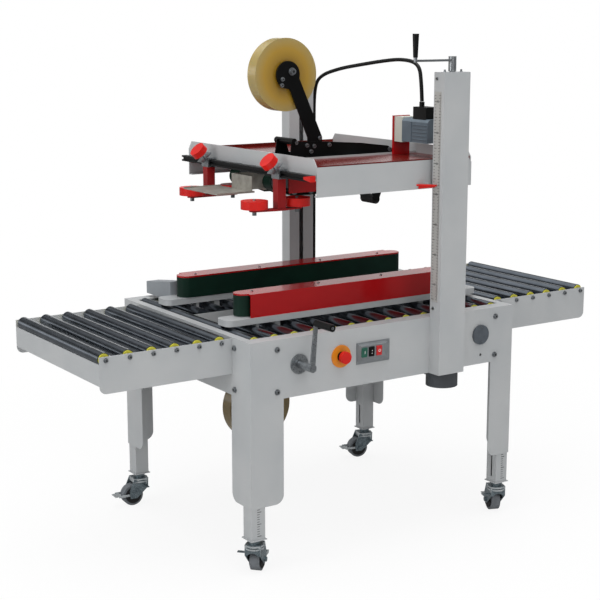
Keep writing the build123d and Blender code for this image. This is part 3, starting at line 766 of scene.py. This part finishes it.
def makeRollerCaps():
    tree = makeCapTree()
    rows = []
    for side in (-1, 1):
        rows.append((axles["bedCount"], -axles["bedEnd"], side * rollerCaps["bedReach"], axles["bedPitch"]))
        for end in (-1, 1):
            rows.append((
                axles["wingCount"], end * axles["wingEnd"], side * rollerCaps["wingReach"],
                -end * axles["wingPitch"],
            ))
    for i, (count, x, y, pitch) in enumerate(rows):
        values = {
            "Count": count, "Start": at(x, y, axles["height"]), "Step": (pitch / 1000, 0, 0),
            "Radius": rollerCaps["radius"] / 1000, "Length": rollerCaps["length"] / 1000,
            "Nylon": finishMaterial("yellowNylon"), "Bearing": finishMaterial("blackRubber"),
        }
        bakeTree(f"rollerCaps{i}", tree, values, "frame")


def makeTickTree():
    # the marks of a scale, one above the other, with a longer one at every whole step
    tree, given = newTree("scaleMarks", {
        "Count": "Int", "Start": "Vector", "Pitch": "Float", "Short": "Vector", "Long": "Vector",
        "Shift": "Vector", "Every": "Int", "Ink": "Material",
    })
    up = addNode(tree, "ShaderNodeCombineXYZ", {"Z": given["Pitch"]})
    row = addNode(tree, "GeometryNodeMeshLine", {
        "Count": given["Count"], "Start Location": given["Start"], "Offset": up.outputs[0],
    })
    index = addNode(tree, "GeometryNodeInputIndex")
    rest = addNode(tree, "ShaderNodeMath", {0: index.outputs[0], 1: given["Every"]}, operation="MODULO")
    whole = addNode(tree, "ShaderNodeMath", {0: rest.outputs[0], 1: 0.5}, operation="LESS_THAN")
    part = addNode(tree, "ShaderNodeMath", {0: 1.0, 1: whole.outputs[0]}, operation="SUBTRACT")
    short = addNode(tree, "GeometryNodeMeshCube", {"Size": given["Short"]})
    longer = addNode(tree, "GeometryNodeMeshCube", {"Size": given["Long"]})
    moved = addNode(tree, "GeometryNodeTransform", {
        "Geometry": longer.outputs["Mesh"], "Translation": given["Shift"],
    })
    both = addNode(tree, "GeometryNodeJoinGeometry")
    for chosen, mark in ((part, short.outputs["Mesh"]), (whole, moved.outputs[0])):
        copies = addNode(tree, "GeometryNodeInstanceOnPoints", {
            "Points": row.outputs[0], "Selection": chosen.outputs[0], "Instance": mark,
        })
        tree.links.new(copies.outputs[0], both.inputs[0])
    real = addNode(tree, "GeometryNodeRealizeInstances", {"Geometry": both.outputs[0]})
    inked = addNode(tree, "GeometryNodeSetMaterial", {"Geometry": real.outputs[0], "Material": given["Ink"]})
    addNode(tree, "NodeGroupOutput", {0: inked.outputs[0]})
    return tree


# start, sizes and shift in mm; shift moves the long marks sideways so that all begin on one line
legScale = dict(count=12, pitch=8, short=(9, 0.4, 1.6), long=(15, 0.4, 2.0), shift=(3, 0, 0), every=5)
scales = dict(
    rulerMarks=dict(
        count=68, start=(165.9, -435.5, 826), pitch=10, every=5,
        short=(0.4, 7, 1.4), long=(0.4, 13, 1.8), shift=(0, -3, 0),
    ),
    rulerEdge=dict(
        count=136, start=(165.9, -461, 826), pitch=5, every=2,
        short=(0.4, 5, 1.2), long=(0.4, 9, 1.6), shift=(0, 2, 0),
    ),
    infeedLegMarks=dict(legScale, start=(-510, -423.1, 132)),
    outfeedLegMarks=dict(legScale, start=(512, -423.1, 132)),
)


def makeScales():
    tree = makeTickTree()
    for name, row in scales.items():
        values = {
            "Count": row["count"], "Start": at(*row["start"]), "Pitch": row["pitch"] / 1000,
            "Every": row["every"], "Ink": finishMaterial("inkAndShadeBlack"),
        }
        for label in ("short", "long", "shift"):
            values[label.capitalize()] = [v / 1000 for v in row[label]]
        bakeTree(name, tree, values, "frame")


makeScrews()
makeRollerCaps()
makeScales()
print("screws, roller caps and scales made")


def roundedBlock(work, centre, size, edge, turn=None, segments=3):
    # adds a block with rounded edges, sizes in mm, to a bmesh
    corners = bmesh.ops.create_cube(work, size=1.0)["verts"]
    for v in corners:
        v.co = Vector((v.co.x * size[0], v.co.y * size[1], v.co.z * size[2])) / 1000
    edges = list(dict.fromkeys(e for v in corners for e in v.link_edges))
    rounded = bmesh.ops.bevel(
        work, geom=edges, offset=edge / 1000, segments=segments, affect="EDGES", profile=0.5,
    )
    for v in {v for f in rounded["faces"] for v in f.verts} | {v for v in corners if v.is_valid}:
        v.co = (turn @ v.co if turn else v.co) + at(*centre)


def keepBlocks(name, blocks, edge, finish, body, slot, turn=None, segments=2):
    # one piece of several rounded blocks, each given by its centre and size in mm
    work = bmesh.new()
    for centre, size in blocks:
        roundedBlock(work, centre, size, edge, turn, segments)
    mesh = bpy.data.meshes.new(name)
    work.to_mesh(mesh)
    work.free()
    mesh.materials.append(finishMaterial(finish))
    return keepPiece(name, mesh, body)


# the panel of the switch box leans back by tilt degrees
switches = dict(
    places=((-117, "greenRocker"), (-88, "blackGrip"), (-58, "redRocker")),
    size=(21, 7, 32), height=682.0, middle=-445.0, edge=1.6, tilt=4,
)


def makeRockers():
    lean = Matrix.Rotation(math.radians(switches["tilt"]), 3, "X")
    for x, finish in switches["places"]:
        slot = "red_plastic" if finish == "redRocker" else "black_plastic"
        block = ((x, switches["middle"], switches["height"]), switches["size"])
        keepBlocks("rocker_" + finish, [block], switches["edge"], finish, "frame", slot, lean, 3)


# text, size and place in mm; relief in metres
marks = dict(
    relief=0.0002,
    switches=dict(
        startMark=("I", 15, (-117, -448.9, 682)), stopMark=("O", 13, (-58, -448.9, 682)),
        powerMark=(":", 26, (-88, -448.9, 683)),
    ),
    ruler=dict(count=7, size=10, x=165.7, y=-448.5, first=876, pitch=100, step=10),
)


def makeMark(name, text, size, place, turn, finish, body):
    # a plain letter or number as a thin mesh
    curve = bpy.data.curves.new(name, "FONT")
    curve.body = text
    curve.size = size / 1000
    curve.extrude = marks["relief"]
    curve.align_x, curve.align_y = "CENTER", "CENTER"
    carrier = bpy.data.objects.new(name + "Text", curve)
    bpy.context.scene.collection.objects.link(carrier)
    view = bpy.context.evaluated_depsgraph_get()
    mesh = bpy.data.meshes.new_from_object(carrier.evaluated_get(view), depsgraph=view)
    bpy.data.objects.remove(carrier)
    mesh.transform(Matrix.Translation(at(*place)) @ turn.to_matrix().to_4x4())
    mesh.materials.clear()
    mesh.materials.append(finishMaterial(finish))
    return keepPiece(name, mesh, body)


def makeMarks():
    towardsOperator = Euler((math.pi / 2 + math.radians(switches["tilt"]), 0, 0))
    towardsInfeed = Euler((math.pi / 2, 0, -math.pi / 2))
    for name, (text, size, place) in marks["switches"].items():
        makeMark(name, text, size, place, towardsOperator, "markWhite", "frame")
    row = marks["ruler"]
    for i in range(row["count"]):
        text, place = str(row["step"] * (i + 1)), (row["x"], row["y"], row["first"] + row["pitch"] * i)
        makeMark(f"rulerNumber{i}", text, row["size"], place, towardsInfeed, "inkAndShadeBlack", "frame")


# small plates, and a black plug behind the front panel's opening as painted shade: centre and size of each
# block in mm, and the rounding of their edges
trims = dict(
    motorRibs=dict(
        finish="motorEnamel", body="head", slot="motor_paint", edge=0.6,
        blocks=[
            ((275 + side * 35, -262, z), (2.4, 78, 2.4))
            for side in (-1, 1) for z in (1338, 1350, 1362, 1374, 1386)
        ],
    ),
    motorFlange=dict(
        finish="motorEnamel", body="head", slot="motor_paint", edge=0.6,
        blocks=[
            ((240, -216, 1361), (3, 5, 70)), ((310, -216, 1361), (3, 5, 70)), ((275, -210, 1407), (46, 5, 3)),
        ],
    ),
    # a black block behind the panel's opening: painted shade, so that the hole looks dark
    paintedShadePlug=dict(
        finish="blackRubber", body="frame", slot="black_rubber", edge=0.8,
        blocks=[((395, -420.4, 601.5), (15, 3, 15))],
    ),
)


def makeTrims():
    for name, row in trims.items():
        keepBlocks(name, **row)


# the folded edge under the pointer's plate: its outline, the direction across it and half its thickness
ribShape = dict(
    outline=((125, -407, 1203), (160, -450, 1203), (160, -450, 1200), (125, -407, 1193)),
    across=(0.775, 0.632, 0), halfThick=1.0,
)


def makePointerRib():
    outline = [at(*p) for p in ribShape["outline"]]
    shift = Vector(ribShape["across"]) * ribShape["halfThick"] / 1000
    mesh = bpy.data.meshes.new("pointerRib")
    mesh.from_pydata([p - shift for p in outline] + [p + shift for p in outline], [], [
        (0, 1, 2, 3), (7, 6, 5, 4), *[(i, i + 4, (i + 1) % 4 + 4, (i + 1) % 4) for i in range(4)],
    ])
    mesh.materials.append(finishMaterial("brightRedPlastic"))
    keepPiece("pointerRib", mesh, "head")


# pivots of the casters, and the reach of arms and foot plate from them, in mm
pedals = dict(
    corners=dict(near_infeed=(-1, -1), near_outfeed=(1, -1), far_infeed=(-1, 1), far_outfeed=(1, 1)),
    pivotX=510, pivotY=398, height=41, armReach=62, arm=(54, 2, 9), armGap=21.6,
    footReach=89, foot=(26, 40, 3), edge=0.8,
)


def makePedals():
    # the brake lever of each caster: two arms beside the wheel and a foot plate behind it
    for corner, (sx, sy) in pedals["corners"].items():
        low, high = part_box("wheel_" + corner)
        x0, y0 = sx * pedals["pivotX"], sy * pedals["pivotY"]
        trail = (low + high) / 2 - at(x0, y0, 0)
        angle = math.atan2(trail.y, trail.x)
        blocks = []
        for reach, across, size in (
            (pedals["armReach"], -pedals["armGap"], pedals["arm"]),
            (pedals["armReach"], pedals["armGap"], pedals["arm"]),
            (pedals["footReach"], 0, pedals["foot"]),
        ):
            x = x0 + reach * math.cos(angle) - across * math.sin(angle)
            y = y0 + reach * math.sin(angle) + across * math.cos(angle)
            blocks.append(((x, y, pedals["height"]), size))
        turn = Matrix.Rotation(angle, 3, "Z")
        keepBlocks(
            "brakePedal_" + corner, blocks, pedals["edge"], "brightZincAndPaintedGlint", "swivel_" + corner, "zinc", turn,
        )


makeRockers()
makeMarks()
makeTrims()
makePedals()
makePointerRib()
print("switches, marks, trims and pedals made")

conduit = dict(
    # beside the route of part.py's conduit: the arch has more points and the drop stands further out
    route=[
        (275, -230, 1463), (275, -226, 1520), (275, -212, 1590), (275, -120, 1603), (275, -10, 1594),
        (278, 130, 1577), (284, 265, 1560), (288, 400, 1530), (288.5, 440, 1480), (288.5, 440, 1300),
        (288, 440, 612),
    ],
    diameter=13.2, length=1.66, steps=12,
    gland=dict(blocks=[((287.2, 438, 606), (23.4, 24, 28))], edge=2, finish="blackGrip"),
)


def makeConduit():
    curve = bpy.data.curves.new("conduitLine", "CURVE")
    curve.dimensions = "3D"
    spline = curve.splines.new("NURBS")
    spline.points.add(len(conduit["route"]) - 1)
    for point, place in zip(spline.points, conduit["route"]):
        point.co = (*at(*place), 1)
    spline.order_u = 3
    spline.use_endpoint_u = True
    spline.resolution_u = conduit["steps"]
    line = bpy.data.objects.new("conduitLine", curve)
    bpy.context.scene.collection.objects.link(line)
    view = bpy.context.evaluated_depsgraph_get()
    thread = bpy.data.meshes.new_from_object(line.evaluated_get(view), depsgraph=view)
    path = [v.co.copy() for v in thread.vertices]
    curve.bevel_depth = conduit["diameter"] / 2000
    curve.bevel_resolution = 3
    curve.fill_mode = "FULL"
    curve.use_fill_caps = True
    view = bpy.context.evaluated_depsgraph_get()
    mesh = bpy.data.meshes.new_from_object(line.evaluated_get(view), depsgraph=view)
    mesh.name = "conduitHose"
    mesh.materials.clear()
    mesh.materials.append(finishMaterial("blackGrip"))
    bpy.data.objects.remove(line)
    hose = bpy.data.objects.new("conduitHose", mesh)
    bpy.context.scene.collection.objects.link(hose)
    gland = keepBlocks("conduitGland", body="frame", slot="black_plastic", segments=3, **conduit["gland"])
    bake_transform(hose)
    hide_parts("conduit")
    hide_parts("conduit")
    length = sum((b - a).length for a, b in zip(path, path[1:]))
    print("conduit length", round(length, 3))


makeConduit()
print("conduit made")
